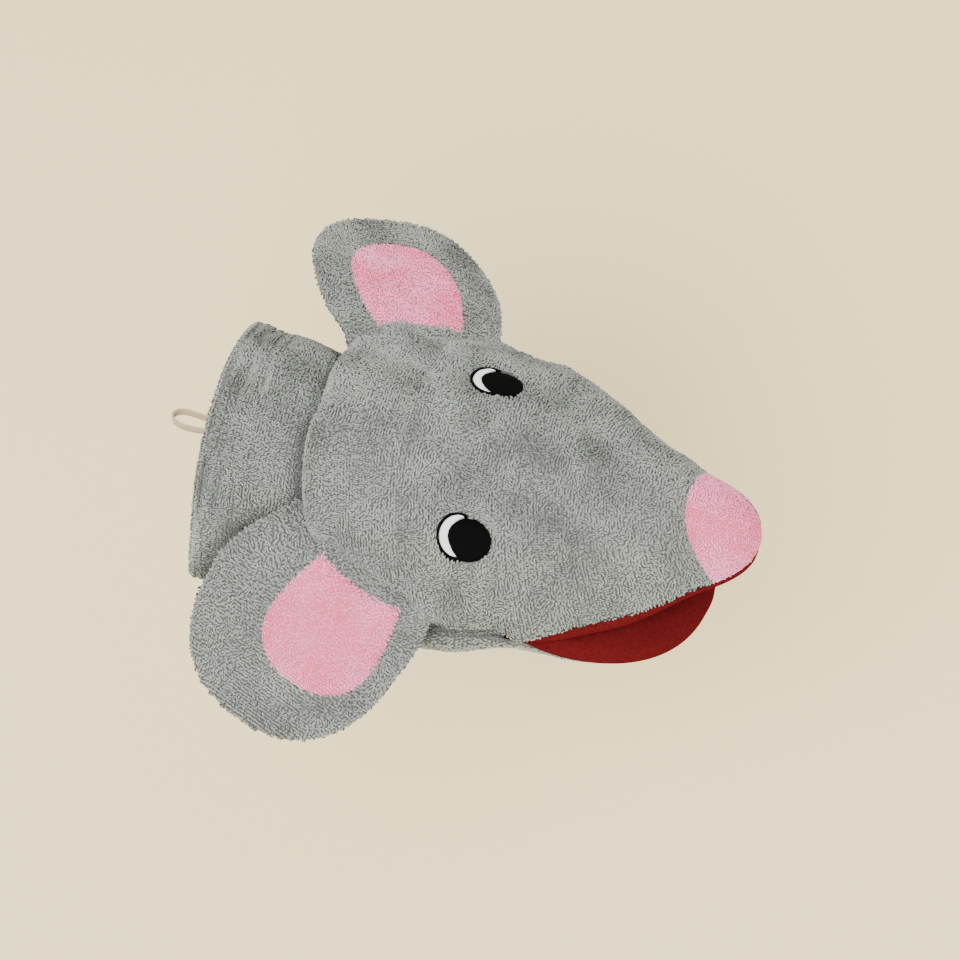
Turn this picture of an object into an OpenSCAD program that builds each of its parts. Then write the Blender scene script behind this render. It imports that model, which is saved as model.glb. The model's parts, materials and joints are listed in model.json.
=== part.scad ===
// Terry wash-mitt hand puppet in the shape of a mouse.
// +X runs from the hand opening to the nose, +Y to the puppet's left, +Z up through the crown.
// The origin is the centre of the hand opening. Millimetres.

/* [Cloth] */
// Thickness of one layer of terry cloth
cloth_t = 3; // [2:0.1:4]
// Thickness of the mouth lining
lining_t = 1.6; // [1:0.1:2]
// Thickness of the pink ear patch
patch_t = 1.8; // [1:0.1:2.4]

/* [Sleeve] */
// Half width of the hand opening
cuff_half_width = 63; // [58:1:66]
// Height of the opening above the side seams
cuff_top = 26; // [24:1:28]
// Depth of the opening below the side seams
cuff_bottom = 21; // [18:1:22]
// Length of the sleeve, including what is hidden inside the head
sleeve_length = 48; // [44:1:50]
// How much the sleeve narrows on each side for each millimetre of its length
sleeve_taper = 0.24; // [0.15:0.01:0.3]
// How far the middle of the rim bows out past its corners
rim_bow = 5; // [2:0.5:7]
// Width of the folded hem
hem_width = 13; // [8:0.5:16]

/* [Head] */
// Length from the hand opening to the tip of the nose
puppet_length = 222; // [212:1:230]
// Half width of the head at the ears
head_half_width = 73; // [70:1:76]
// Half width of the head at the nape
nape_half_width = 64; // [62:1:66]
// Half width that the taper of the snout heads for
snout_half_width = 20; // [18:1:22]
// Height of the crown at the nape
crown_height = 40; // [38:1:43]
// How much lower the bridge of the snout is than the crown
snout_drop = 30; // [26:1:31]
// Depth of the throat below the side seams
throat_depth = 30; // [29:1:33]
// Distance of the nape edge from the hand opening, in the middle
nape_x = 38; // [36:1:40]
// Distance of the nose patch seam from the hand opening, in the middle
nose_seam_x = 189; // [184:1:194]

/* [Mouth] */
// Distance of the mouth corners from the hand opening
mouth_x = 134; // [130:1:138]
// Height of the mouth hinge line
mouth_z = -4; // [-5:0.5:-3.5]
// Half width of the jaw at its hinge
jaw_half_width = 64; // [60:1:65]
// Length of the jaw from hinge to tip
jaw_length = 79.5; // [74:0.5:80]
// Depth of the jaw below its lining
jaw_depth = 22; // [18:1:24]
// How far the mouth stands open at rest, in degrees
jaw_open = 22; // [21:1:26]

/* [Eyes] */
// Distance of the pupils from the hand opening
eye_x = 107.5; // [100:0.5:115]
// Distance of each pupil from the middle line
eye_y = 37; // [32:0.5:42]
// Radius of the pupil
pupil_r = 8.5; // [7:0.1:9.5]
// Radius of the eye white
white_r = 8.5; // [7:0.1:9.5]
// How far the white sits behind the pupil
white_shift = 5; // [3:0.1:6]
// Width of the stitched outline round the white
outline_w = 1; // [0.6:0.1:1.5]
// Thickness of the embroidery
stitch_t = 1.4; // [0.8:0.1:2]

/* [Ears] */
// Half width of the ear at its widest
ear_half_width = 41.5; // [38:0.5:44]
// Reach of the ear past its seam line
ear_reach = 72; // [66:1:74]
// Lean of the left ear towards the nose
left_lean = 0; // [-12:1:6]
// Lean of the right ear towards the nose
right_lean = -9; // [-12:1:6]
// Half width of the pink patch
patch_half_width = 23.5; // [20:0.5:26]
// Reach of the pink patch past the seam line
patch_reach = 54; // [48:1:58]

/* [Loop] */
// Width of the hanging tape
tape_w = 4; // [3:0.5:5]
// Thickness of the hanging tape
tape_t = 1.2; // [0.8:0.1:1.6]

/* [Hidden] */
GREY = [0.60, 0.61, 0.59];
PINK = [0.87, 0.68, 0.73];
RED = [0.50, 0.09, 0.08];
BLACK = [0.06, 0.06, 0.06];
WHITE = [0.86, 0.86, 0.87];
CREAM = [0.80, 0.75, 0.67];
LEFT = 1;
RIGHT = -1;
hair = 0.1;                    // gap that keeps laid pieces from sharing a face
section_power = 2.4;           // roundness of a cross section, 2 is an ellipse
widest_x = 95;                 // where the head is widest
taper_power = 1.15;            // how late the snout starts to narrow
bridge_power = 1.25;           // how late the bridge starts to fall
tip_r = 20;                    // length over which the nose tip rounds off
tip_power = 2.2;               // roundness of the nose tip
nape_sweep = 14;               // how much further forward the nape edge is at the sides
nose_sweep = 16;               // the same for the nose seam
sleeve_rise = 0.1;             // rise of the sleeve for each millimetre of its length
throat_lean = 50;              // slope of the throat's front edge, which clears the open jaw
throat_end_x = mouth_x - 4;    // throat edge at the mouth corners
jaw_start = 2;                 // clearance between the hinge line and the jaw's cloth
jaw_power = 2.27;              // roundness of the jaw outline
jaw_rim = 1.5;                 // grey edge that shows round the red lining
hem_t = 2;                     // thickness of the folded hem
thread_w = 1.2;                // width of the row of hem stitches
thread_t = 0.8;                // how far the stitches stand proud
thread_gap = 0.3;              // gap under the stitches, so that flat cloth facets pass below them

// The pink patch's seam corners on the left side, and the tip of the left ear
ear_rear = [54.6, 55.3, 25.5];
ear_front = [86, 66.5, 14];
ear_tip = [47, 125, 2.5];
ear_start = 7;                 // distance from the seam line at which the free ear begins
ear_wide_at = 25;              // distance from the seam line at which the ear is widest
ear_pinch = 0.14;              // share by which the ear narrows at its seam
ear_power = 2.3;               // roundness of the ear's end
patch_wide_at = 26;            // distance from the seam line at which the patch is widest
patch_pinch = 0.2;             // share by which the patch narrows at its seam
patch_shift = -1.5;            // the patch sits a little towards the sleeve

// The hanging tape's route, from the rim and back to it
tape_route = [[-7, -2, 22], [-9.5, -1.8, 22.4], [-12, -1.6, 23], [-15, -1.8, 23.7], [-17.5, -2.8, 24.3],
              [-18.8, -4.4, 24.6], [-18.8, -6.2, 24.6], [-17.5, -7.8, 24.3], [-15, -8.7, 23.7],
              [-12, -8.8, 23], [-9.5, -8.5, 22.4], [-7, -8.2, 22]];

function mix(a, b, t) = a + (b - a) * t;
function unit(v) = v / norm(v);

// Share of the full height left at a place across a section, s = -1 to 1
function arch(s) = 1 - pow(abs(s), section_power);
// Evenly drawn places across a section, closer together at the sides
function across(v) = sin(90 * v);

// Rounding of the nose tip, 1 until the tip starts and 0 at its end
function tip_round(x) =
    let (t = max(0, x - puppet_length + tip_r) / tip_r)
    pow(max(0, 1 - pow(t, tip_power)), 1 / tip_power);

// Half width of the head at x
function head_w(x) =
    let (t = (x - widest_x) / (puppet_length - widest_x),
         back = (widest_x - x) / (widest_x - nape_x))
    x < widest_x
        ? head_half_width - (head_half_width - nape_half_width) * pow(back, 2)
        : mix(snout_half_width, head_half_width, (1 + cos(180 * pow(t, taper_power))) / 2) * tip_round(x);

// Height of the head's middle line at x
function head_h(x) =
    let (t = (x - nape_x) / (puppet_length - nape_x))
    (crown_height - snout_drop * pow(max(0, t), bridge_power)) * tip_round(x);

// Point of the head's outer skin above x and y, and the skin's normal there
function crown_point(x, y) = [x, y, head_h(x) * arch(y / head_w(x))];
function crown_normal(x, y) =
    unit(cross(crown_point(x + 1, y) - crown_point(x - 1, y), crown_point(x, y + 1) - crown_point(x, y - 1)));

// Half width, top and rim of the sleeve
function sleeve_w(x) = cuff_half_width - sleeve_taper * x;
function sleeve_h(x) = cuff_top + sleeve_rise * x;
function rim_x(s) = -rim_bow * (1 - s * s);

// Edges of the face panel
function nape_edge(s) = nape_x + nape_sweep * s * s;
function nose_edge(s) = nose_seam_x + nose_sweep * s * s;

// Half width of the jaw at a distance from its hinge, for an outline of a given length and half width
function jaw_w(d, length, half) = half * pow(max(0, 1 - pow(d / length, jaw_power)), 1 / jaw_power);

// A closed panel between an outer and an inner skin. Each skin is a function of a place along, 0 to 1,
// and a place across, -1 to 1. A pointed panel ends in one point, and a ring joins up across.
module panel(outer, inner, rows, cols, pointed = false, ring = false) {
    wide = ring ? cols : cols + 1;
    count = pointed ? rows * wide + 1 : (rows + 1) * wide;
    grid = function (skin) [for (k = [0 : count - 1]) skin(floor(k / wide) / rows, 2 * (k % wide) / cols - 1)];
    spot = function (side, i, j) side * count + i * wide + (pointed && i == rows ? 0 : j % wide);
    quad = function (a, b, c, d) [[a, b, c], [a, c, d]];
    skins = [for (i = [0 : rows - 1], j = [0 : cols - 1]) each concat(
        quad(spot(0, i, j), spot(0, i + 1, j), spot(0, i + 1, j + 1), spot(0, i, j + 1)),
        quad(spot(1, i, j + 1), spot(1, i + 1, j + 1), spot(1, i + 1, j), spot(1, i, j)))];
    sides = ring ? [] : [for (i = [0 : rows - 1]) each concat(
        quad(spot(0, i + 1, 0), spot(0, i, 0), spot(1, i, 0), spot(1, i + 1, 0)),
        quad(spot(0, i, cols), spot(0, i + 1, cols), spot(1, i + 1, cols), spot(1, i, cols)))];
    ends = [for (i = pointed ? [0] : [0, rows], j = [0 : cols - 1]) each
        i == 0 ? quad(spot(0, 0, j), spot(0, 0, j + 1), spot(1, 0, j + 1), spot(1, 0, j))
               : quad(spot(0, rows, j + 1), spot(0, rows, j), spot(1, rows, j), spot(1, rows, j + 1))];
    whole = [for (f = concat(skins, sides, ends)) if (f[0] != f[1] && f[1] != f[2] && f[2] != f[0]) f];
    polyhedron(points = concat(grid(outer), grid(inner)), faces = whole, convexity = 8);
}

// Moves drawn shapes onto a plane with the given origin, first axis and normal
module on_plane(origin, first, normal) {
    second = cross(normal, first);
    multmatrix([for (k = [0 : 2]) [first[k], second[k], normal[k], origin[k]]]) children();
}

// ---- Sleeve ----

// Skin of one half of the sleeve, face = 1 for the back of the hand and -1 for the belly side
function sleeve_skin(face, depth) = function (u, v)
    let (s = across(v), x = mix(rim_x(s), sleeve_length, u))
    [x, s * (sleeve_w(x) - depth), face * ((face > 0 ? sleeve_h(x) : cuff_bottom) - depth) * arch(s)];

// Skin of a band that runs round the sleeve between two distances from the rim
function band_skin(first, last, depth) = function (u, v)
    let (turn = 180 * (v + 1), s = cos(turn), x = rim_x(s) + mix(first, last, u), top = turn < 180)
    [x, s * (sleeve_w(x) - depth), (top ? sleeve_h(x) - depth : depth - cuff_bottom) * arch(s)];

module sleeve_back_panel() {
    color(GREY) panel(sleeve_skin(1, 0), sleeve_skin(1, cloth_t), 8, 24);
}

module sleeve_belly_panel() {
    color(GREY) mirror([0, 0, 1]) panel(
        function (u, v) let (p = sleeve_skin(-1, 0)(u, v)) [p.x, p.y, -p.z],
        function (u, v) let (p = sleeve_skin(-1, cloth_t)(u, v)) [p.x, p.y, -p.z], 8, 24);
}

module cuff_hem() {
    color(GREY) panel(band_skin(0, hem_width, cloth_t + hair), band_skin(0, hem_width, cloth_t + hem_t), 2, 40,
                      ring = true);
}

module hem_stitching() {
    color(GREY) panel(band_skin(hem_width - thread_w, hem_width, -thread_t),
                      band_skin(hem_width - thread_w, hem_width, -thread_gap), 1, 40, ring = true);
}

// ---- Hanging loop ----

// Eight-sided outline of the tape, as shares of its half width and half thickness
function tape_ring(k) = [pow(abs(cos(45 * k + 22.5)), 0.6) * sign(cos(45 * k + 22.5)),
                         pow(abs(sin(45 * k + 22.5)), 0.6) * sign(sin(45 * k + 22.5))];

module hanging_loop() {
    last = len(tape_route) - 1;
    heading = function (k) unit(tape_route[min(last, k + 1)] - tape_route[max(0, k - 1)]);
    points = [for (k = [0 : last], a = [0 : 7])
        let (side = unit(cross([0, 0, 1], heading(k))), up = cross(heading(k), side))
        tape_route[k] + side * tape_ring(a).y * tape_t / 2 + up * tape_ring(a).x * tape_w / 2];
    walls = [for (k = [0 : last - 1], a = [0 : 7]) each
        let (b = (a + 1) % 8, p = k * 8)
        [[p + a, p + 8 + b, p + b], [p + a, p + 8 + a, p + 8 + b]]];
    caps = [[for (a = [0 : 7]) a], [for (a = [7 : -1 : 0]) last * 8 + a]];
    color(CREAM) polyhedron(points = points, faces = concat(walls, caps), convexity = 4);
}

// ---- Head ----

module face_panel() {
    skin = function (depth) function (u, v)
        let (s = across(v), x = mix(nape_edge(s), nose_edge(s), u))
        [x, s * (head_w(x) - depth), (head_h(x) - depth) * arch(s)];
    color(GREY) panel(skin(0), skin(cloth_t), 22, 28);
}

module nose_patch() {
    skin = function (depth) function (u, v)
        let (s = across(v), start = nose_edge(s) + hair,
             x = mix(start, puppet_length - depth * 1.5, sin(90 * u)))
        u == 1 ? [puppet_length - depth * 1.5, 0, 0]
               : [x, s * (head_w(x) - depth), (head_h(x) - depth) * arch(s)];
    color(PINK) panel(skin(0), skin(cloth_t), 8, 28, pointed = true);
}

module mouth_roof() {
    edge = 0.8;
    steps = 24;
    along = [for (k = [0 : steps]) mix(mouth_x + jaw_start, puppet_length - edge, sin(90 * k / steps))];
    side = [for (x = along) [x, max(0.4, head_w(x + edge * 0.9) - edge)]];
    outline = concat(side, [for (k = [steps : -1 : 0]) [side[k].x, -side[k].y]]);
    color(RED) translate([0, 0, -hair - lining_t]) linear_extrude(lining_t) polygon(outline);
}

module throat_panel() {
    skin = function (depth) function (u, v)
        let (s = across(v), low = (throat_depth - depth) * arch(s),
             x = mix(nape_edge(s), throat_end_x - low * tan(throat_lean), u))
        [x, s * (head_w(x) - cloth_t - depth), low + hair];
    color(GREY) mirror([0, 0, 1]) panel(skin(0), skin(cloth_t), 12, 28);
}

// ---- Eyes ----

// Places a flat drawing on the head where an eye is, with its x axis towards the nose
module at_eye(side) {
    spot = crown_point(eye_x, side * eye_y);
    normal = crown_normal(eye_x, side * eye_y);
    first = unit([1, 0, -normal.x / normal.z]);
    on_plane(spot + normal * hair, first, normal) linear_extrude(stitch_t) children();
}

module eye_pupil(side) {
    color(BLACK) at_eye(side) circle(pupil_r, $fn = 48);
}

module eye_white(side) {
    color(WHITE) at_eye(side) difference() {
        translate([-white_shift, 0]) circle(white_r, $fn = 48);
        circle(pupil_r + hair, $fn = 48);
    }
}

module eye_outline(side) {
    color(BLACK) at_eye(side) difference() {
        translate([-white_shift, 0]) circle(white_r + outline_w, $fn = 48);
        translate([-white_shift, 0]) circle(white_r + hair, $fn = 48);
        circle(pupil_r + hair, $fn = 48);
    }
}

// ---- Jaw ----

// Places the jaw, drawn flat along +X from its hinge line, at its open angle
module at_jaw() {
    translate([mouth_x, 0, mouth_z]) rotate([0, jaw_open, 0]) children();
}

module jaw_panel() {
    skin = function (depth) function (u, v)
        let (s = across(v), length = jaw_length - depth, d = mix(jaw_start, length, sin(90 * u)),
             wide = jaw_w(d, length, jaw_half_width - depth), belly = pow(max(0, 1 - pow(d / length, 2)), 0.5))
        u == 1 ? [length, 0, 0] : [d, s * wide, (jaw_depth - depth) * belly * arch(s)];
    color(GREY) at_jaw() translate([0, 0, -lining_t - hair]) mirror([0, 0, 1])
        panel(skin(0), skin(cloth_t), 14, 28, pointed = true);
}

module mouth_floor() {
    length = jaw_length - jaw_rim;
    steps = 28;
    side = [for (k = [0 : steps])
        let (d = mix(jaw_start, length, sin(90 * k / steps)))
        [d, max(0.4, jaw_w(d, length, jaw_half_width - jaw_rim))]];
    outline = concat(side, [for (k = [steps : -1 : 0]) [side[k].x, -side[k].y]]);
    color(RED) at_jaw() translate([0, 0, -lining_t]) linear_extrude(lining_t) polygon(outline);
}

// ---- Ears ----

// Half width of a rounded lobe at a distance from its seam
function lobe(b, half, wide_at, reach, pinch) =
    b < wide_at ? half * (1 - pinch * pow((wide_at - b) / wide_at, 1.5))
                : half * pow(max(0, 1 - pow((b - wide_at) / (reach - wide_at), ear_power)), 1 / ear_power);

// Outline of a lobe from its first distance to its tip, moved sideways by shift and lean
function lobe_outline(first, half, wide_at, reach, pinch, shift, lean) =
    let (steps = 20,
         rise = [for (k = [0 : steps]) mix(first, reach, sin(90 * k / steps))],
         middle = [for (b = rise) shift + lean * min(1, b / wide_at)],
         out = [for (b = rise) max(0.4, lobe(b, half, wide_at, reach, pinch))])
    concat([for (k = [0 : steps]) [middle[k] + out[k], rise[k]]],
           [for (k = [steps : -1 : 0]) [middle[k] - out[k], rise[k]]]);

// Places a flat drawing on the ear's plane: x along the seam to the nose, y out to the ear's tip
module at_ear(side, low, high) {
    seam = unit(ear_front - ear_rear);
    middle = (ear_front + ear_rear) / 2;
    out = unit((ear_tip - middle) - seam * ((ear_tip - middle) * seam));
    normal = cross(seam, out);
    mirror([0, side < 0 ? 1 : 0, 0])
        on_plane(middle + normal * low, seam, normal) linear_extrude(high - low) children();
}

module ear_sheet(side, low, high) {
    lean = side > 0 ? left_lean : right_lean;
    color(GREY) at_ear(side, low, high)
        polygon(lobe_outline(ear_start, ear_half_width, ear_wide_at, ear_reach, ear_pinch, lean / 3, lean * 0.6));
}

module ear_layer_front(side) {
    ear_sheet(side, -patch_t - cloth_t, -patch_t);
}

module ear_layer_back(side) {
    ear_sheet(side, -patch_t - 2 * cloth_t - hair, -patch_t - cloth_t - hair);
}

module ear_patch(side) {
    color(PINK) at_ear(side, -patch_t + hair, hair)
        polygon(lobe_outline(ear_start, patch_half_width, patch_wide_at, patch_reach, patch_pinch, patch_shift, 0));
}

sleeve_back_panel();
sleeve_belly_panel();
cuff_hem();
hem_stitching();
hanging_loop();
face_panel();
nose_patch();
mouth_roof();
throat_panel();
eye_white(LEFT);  // left_eye_white
eye_pupil(LEFT);  // left_eye_pupil
eye_outline(LEFT);  // left_eye_outline
eye_white(RIGHT);  // right_eye_white
eye_pupil(RIGHT);  // right_eye_pupil
eye_outline(RIGHT);  // right_eye_outline
jaw_panel();
mouth_floor();
ear_layer_front(LEFT);  // left_ear_front
ear_layer_back(LEFT);  // left_ear_back
ear_patch(LEFT);  // left_ear_patch
ear_layer_front(RIGHT);  // right_ear_front
ear_layer_back(RIGHT);  // right_ear_back
ear_patch(RIGHT);  // right_ear_patch
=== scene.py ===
"""Looks of the terry hand puppet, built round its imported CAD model. Shapes are worked out in
millimetres."""

import json
import math
from functools import partial

import bmesh
import bpy
import numpy as np
from mathutils import Matrix, Vector


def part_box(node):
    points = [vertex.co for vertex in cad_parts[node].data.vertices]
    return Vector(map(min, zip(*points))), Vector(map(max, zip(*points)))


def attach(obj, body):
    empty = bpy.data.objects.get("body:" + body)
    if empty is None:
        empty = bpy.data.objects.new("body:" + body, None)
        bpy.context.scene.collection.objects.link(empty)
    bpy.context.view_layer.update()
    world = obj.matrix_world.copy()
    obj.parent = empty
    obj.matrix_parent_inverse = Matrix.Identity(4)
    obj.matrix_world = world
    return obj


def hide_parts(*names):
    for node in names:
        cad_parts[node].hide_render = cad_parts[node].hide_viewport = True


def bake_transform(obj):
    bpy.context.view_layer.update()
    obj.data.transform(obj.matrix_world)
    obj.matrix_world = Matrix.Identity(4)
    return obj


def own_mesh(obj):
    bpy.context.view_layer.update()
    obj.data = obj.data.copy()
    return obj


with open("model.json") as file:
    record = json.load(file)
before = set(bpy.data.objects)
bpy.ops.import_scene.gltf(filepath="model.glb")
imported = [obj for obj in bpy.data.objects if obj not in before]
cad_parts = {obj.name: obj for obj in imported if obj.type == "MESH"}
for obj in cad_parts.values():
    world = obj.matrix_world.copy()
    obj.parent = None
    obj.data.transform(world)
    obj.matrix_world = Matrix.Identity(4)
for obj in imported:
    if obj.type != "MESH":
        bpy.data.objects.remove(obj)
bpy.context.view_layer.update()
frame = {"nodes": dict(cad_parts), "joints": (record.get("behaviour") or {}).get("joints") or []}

MM = 0.001


def low(node):
    """Lower corner of a CAD piece's box."""
    return np.array(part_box(node)[0]) / MM


def high(node):
    """Upper corner of a CAD piece's box."""
    return np.array(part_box(node)[1]) / MM


# ---- Sizes, from the CAD parts where they hold them, in millimetres ----

PILE = 1.5                                    # how far the loops stand off the woven ground
CLOTH = 1.2                                   # thickness of the woven ground itself
EAR_CLOTH = 0.9                               # thickness of the ground in each sheet of an ear
THIN_CLOTH = 0.8                              # thickness of the lining and of the ears' pink cloth

RIM_BOW = -low("sleeve_back_panel")[0]        # how far the rim bows back in its middle
CUFF_HALF = high("sleeve_back_panel")[1]      # half width of the cuff
SLEEVE_RISE = 0.1                             # slope of the sleeve's back, up towards the head
SLEEVE_TAPER = 0.24                           # how fast each side of the sleeve draws in
CUFF_TOP = high("sleeve_back_panel")[2] - SLEEVE_RISE * high("sleeve_back_panel")[0]
CUFF_DEPTH = -low("sleeve_belly_panel")[2]
HEM_WIDTH = 13                                # from the rim to the hem's stitching
HEM_ROLL = 1.7                                # radius of the fold at the rim
SLEEVE_POWER = 1.55                           # power of the cosine that gives the sleeve its height
SLEEVE_END = 70                               # how far forward the sleeve runs inside the head
BAND_PITCH = 6.5                              # from one of the low bands beside the rim to the next
NAPE_VALLEY = 4.4                             # depth of the valley in the sleeve under the head's rear edge
NAPE_ROLL = 5.0                               # how far the head's rear edge bulges back over the valley
NAPE_PUFF = 11                                # length over which the head rises from the sleeve there

CROWN = high("face_panel")[2]
HEAD_HALF = high("face_panel")[1]
NAPE_X = low("face_panel")[0]
NAPE_HALF = 64                                # half width of the head at its rear edge
NAPE_SWEEP = 14                               # how far that edge's ends lie ahead of its middle
NOSE_SWEEP = 16                               # the same for the nose seam
NOSE_SEAM = high("face_panel")[0] - NOSE_SWEEP
NOSE_TIP = high("nose_patch")[0]
SNOUT_HALF = 20                               # half width towards which the head narrows
SNOUT_DROP = 30                               # how much lower its top is at the nose
WIDEST_X = 95                                 # where the head is widest
TIP_R = 20                                    # length over which the nose tip rounds off
TIP_POWER = 2.2                               # power of the superellipse it rounds off by
THROAT_DEPTH = -low("throat_panel")[2]
EDGE = 0.055                                  # share of a head section, at each side, that rolls under
DOME = 1.667                                  # power of the cosine that gives the dome its height
SIDE_TUCK = {"left": 2.0, "right": 7.5}       # how far each side seam is drawn in ahead of the ear
LIP_OUT = 4.6                                 # how far the right lip stands out beside the mouth
LIP_DOWN = 3.2                                # and how far it hangs down
THROAT_LEVEL = -9.0                           # height at which the throat is widest
THROAT_OVER = 6.0                             # how far it rises above that before it turns in

MOUTH = np.array([134.0, 0, -4])              # middle of the mouth hinge line
JAW_OPEN = math.radians(22)                   # how far the jaw hangs open at rest
JAW_HALF = high("jaw_panel")[1]
JAW_LENGTH = (high("jaw_panel")[0] - MOUTH[0]) / math.cos(JAW_OPEN)
JAW_DEPTH = 22                                # how far the jaw's pocket hangs below its lining
JAW_BACK = 26                                 # how far the jaw's cloth runs back under the throat
RIM_TUCK = 2.6                                # how far the jaw's terry lies inside the lining's rolled edge
CORNER_BACK = 5                               # how far the lining runs back past the hinge line
ROOF_LEVEL = -0.5                             # height of the roof's edge under the lip
LINING_BULGE = 8.5                            # how far the fingers push the roof of the mouth down

EYE = (low("left_eye_pupil")[:2] + high("left_eye_pupil")[:2]) / 2
PUPIL_R = 8.5                                 # radius of the black disc
WHITE_R = 7.6                                 # radius of the white crescent's outer arc
WHITE_SHIFT = 4.7                             # how far the white's middle lies behind the pupil's
OUTLINE = 1.0                                 # width of the black line round the white
THREAD = 0.45                                 # pitch of the embroidery threads

EAR_HALF = 41.5                               # half width of an ear in the CAD model
EAR_REACH = 72                                # how far it reaches out from its seam
EAR_START = 7                                 # from the seam to where its CAD sheets and patch begin
EAR_WIDE_AT = 25                              # how far out it is widest
EAR_PINCH = 0.14                              # share of its width lost at the seam
EAR_LEAN = {"left": 0, "right": -9}           # how far each ear leans along its seam
EAR_ROOT = -13.0                              # where the ear's cloth ends inside the head
EAR_ROWS = 44                                 # points of an ear's sheets out from the seam
EAR_COLS = 41                                 # and along it
EAR_GROW = {"left": 2.0, "right": -0.5}       # how far each ear's cloth reaches past its CAD edge
EAR_WIDER = {"left": 1.6, "right": 0.0}       # how much wider each ear's front half is than the CAD outline
EAR_REAR = {"left": 0.935, "right": 1.05}     # each ear's rear half width as a share of its front one
EAR_REAR_ROOT = {"left": 0.0, "right": 0.13}  # what is added to that share near the root
EAR_DEPTH = 6.2                               # from the patch's skin down to the back of the ear
EAR_SWELL = 1.6                               # most that the cloth simulation may move a point of an ear
EAR_FRAMES = 14                               # steps of that simulation
PATCH_HALF = 23.5                             # the same four sizes for an ear's pink patch
PATCH_REACH = 54
PATCH_WIDE_AT = 26
PATCH_PINCH = 0.2
PATCH_SHIFT = -1.5                            # how far along the seam it sits from the ear's middle
PATCH_MOVE = {"left": 1.4, "right": 1.2}      # how far each ear's pink cloth lies ahead of its CAD place
PATCH_SHORT = {"left": -1.0, "right": 5.4}    # and how much shorter it is
SIDES = {"left": 1, "right": -1}
FLOOR_LEVEL = -260                            # height of the studio floor, well below the puppet

TAPE_W = 4                                    # width of the hanging loop's tape
TAPE_T = 1.2                                  # and its thickness
TAPE_TUCK = 3.8                               # how much of each end of the tape is sewn into the hem
TAPE_RIB = 0.55                               # from one woven rib of the tape to the next
TAPE_ROUTE = np.array([
    (-7, -2, 22), (-9.5, -1.8, 22.4), (-12, -1.6, 23), (-15, -1.8, 23.7),
    (-17.5, -2.8, 24.3), (-18.8, -4.4, 24.6), (-18.8, -6.2, 24.6), (-17.5, -7.8, 24.3),
    (-15, -8.7, 23.7), (-12, -8.8, 23), (-9.5, -8.5, 22.4), (-7, -8.2, 22),
])


# ---- Sums used by every piece ----

def smooth(t):
    """Smoothstep: 0 below 0, 1 above 1, and an even S between."""
    t = np.clip(t, 0, 1)
    return t * t * (3 - 2 * t)


def waves(points, size, seed, count=12):
    """Smooth noise of about unit strength: sines along random directions, their wavelengths round
    size."""
    rng = np.random.default_rng(seed)
    way = rng.normal(size=(count, 3))
    way /= np.linalg.norm(way, axis=1, keepdims=True)
    way *= 2 * math.pi / (size * rng.uniform(0.7, 1.6, (count, 1)))
    turns = points @ way.T + rng.uniform(0, 2 * math.pi, count)
    return np.sin(turns).sum(-1) / math.sqrt(count / 2)


def unit(v):
    """Vectors divided by their own length."""
    return v / np.maximum(np.linalg.norm(v, axis=-1, keepdims=True), 1e-9)


def skin_normals(P):
    """Unit normal at each point of a grid: the cross product of the steps along and across it."""
    return unit(np.cross(np.gradient(P, axis=0), np.gradient(P, axis=1)))


def plane_grid(rows, cols):
    """Places along, 0 to 1, and across, -1 to 1, as two rows x cols arrays."""
    return np.meshgrid(np.linspace(0, 1, rows), np.linspace(-1, 1, cols), indexing="ij")


def stack(*parts):
    """Coordinates, given one by one, as points."""
    return np.stack(np.broadcast_arrays(*parts), axis=-1)


def lengths(path):
    """Length along a path up to each of its points."""
    return np.concatenate([[0], np.linalg.norm(np.diff(path, axis=0), axis=1).cumsum()])


def between(P, i, j):
    """Points of a grid at broken row and column numbers, each mixed from the four round it."""
    a = np.clip(i.astype(int), 0, P.shape[0] - 2)
    b = np.clip(j.astype(int), 0, P.shape[1] - 2)
    s, t = (i - a)[:, None], (j - b)[:, None]
    near = P[a, b] * (1 - t) + P[a, b + 1] * t
    far = P[a + 1, b] * (1 - t) + P[a + 1, b + 1] * t
    return near * (1 - s) + far * s


# ---- Making pieces ----

def new_mesh(name, points, faces, shade=None):
    """A mesh piece from points in millimetres and faces of equal size, with an optional shade value at each
    point, which the terry material reads: the yarn's own tone together with painted highlight and painted
    shade."""
    mesh = bpy.data.meshes.new(name)
    corners = faces.shape[1]
    mesh.vertices.add(len(points))
    mesh.vertices.foreach_set("co", (points * MM).astype(np.float32).ravel())
    mesh.loops.add(faces.size)
    mesh.loops.foreach_set("vertex_index", faces.astype(np.int32).ravel())
    mesh.polygons.add(len(faces))
    mesh.polygons.foreach_set("loop_start", np.arange(0, faces.size, corners, dtype=np.int32))
    mesh.polygons.foreach_set("use_smooth", np.ones(len(faces), bool))
    mesh.update(calc_edges=True)
    if shade is not None:
        attribute = mesh.attributes.new("shade", "FLOAT", "POINT")
        attribute.data.foreach_set("value", shade.astype(np.float32).ravel())
    piece = bpy.data.objects.new(name, mesh)
    bpy.context.scene.collection.objects.link(piece)
    return piece


def grid_faces(rows, cols, ring=False, flip=False):
    """Quads between neighbouring grid points. A ring joins its last column to its first."""
    wide = cols if ring else cols - 1
    i, j = (k.ravel() for k in np.meshgrid(np.arange(rows - 1), np.arange(wide), indexing="ij"))
    k = (j + 1) % cols
    quads = np.stack([i * cols + j, (i + 1) * cols + j, (i + 1) * cols + k, i * cols + k], axis=1)
    return quads[:, ::-1] if flip else quads


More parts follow.
